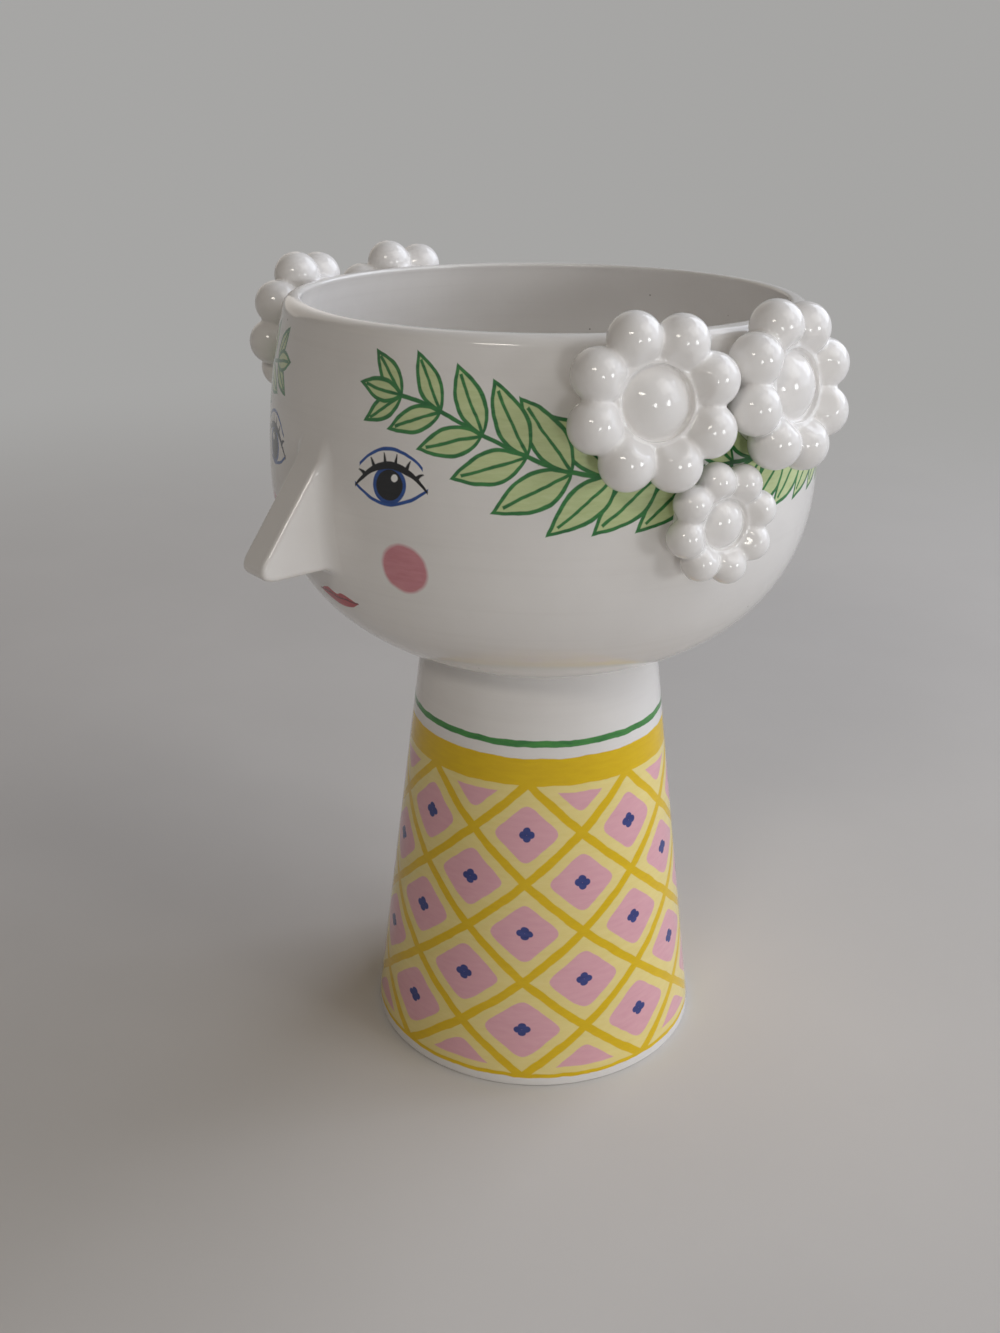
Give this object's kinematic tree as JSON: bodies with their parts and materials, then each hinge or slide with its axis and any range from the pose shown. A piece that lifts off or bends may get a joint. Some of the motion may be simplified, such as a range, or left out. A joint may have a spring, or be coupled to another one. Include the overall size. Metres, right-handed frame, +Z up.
{
  "type": "face vase",
  "caption": "Open bowl-shaped head with a wedge nose and ball-petalled flowers at its ears, on a tapered hollow pedestal; holds cut flowers.",
  "frame": {"origin": "centre of the foot's flat underside, on the surface that the vase stands on", "axes": "+Z up along the axis of the bowl and pedestal; the face looks towards -Y, and +X is the face's own left"},
  "size_m": [0.245, 0.2332, 0.3147],
  "materials": {
    "head_glaze": "clear gloss glaze over white ware, with a painted face and leaf wreath",
    "pedestal_glaze": "clear gloss glaze over a painted diamond trellis in yellow, pink and blue",
    "nose_glaze": "clear gloss glaze over white ware",
    "flower_glaze": "thick clear gloss glaze over white ware"
  },
  "bodies": {
    "root": {"head_bowl": "head_glaze", "pedestal": "pedestal_glaze", "nose": "nose_glaze", "left_front_flower_disc": "flower_glaze", "left_front_flower_petals": "flower_glaze", "left_front_flower_boss": "flower_glaze", "left_rear_flower_disc": "flower_glaze", "left_rear_flower_petals": "flower_glaze", "left_rear_flower_boss": "flower_glaze", "left_lower_flower_disc": "flower_glaze", "left_lower_flower_petals": "flower_glaze", "left_lower_flower_boss": "flower_glaze", "right_front_flower_disc": "flower_glaze", "right_front_flower_petals": "flower_glaze", "right_front_flower_boss": "flower_glaze", "right_rear_flower_disc": "flower_glaze", "right_rear_flower_petals": "flower_glaze", "right_rear_flower_boss": "flower_glaze", "right_lower_flower_disc": "flower_glaze", "right_lower_flower_petals": "flower_glaze", "right_lower_flower_boss": "flower_glaze"}
  },
  "joints": []
}
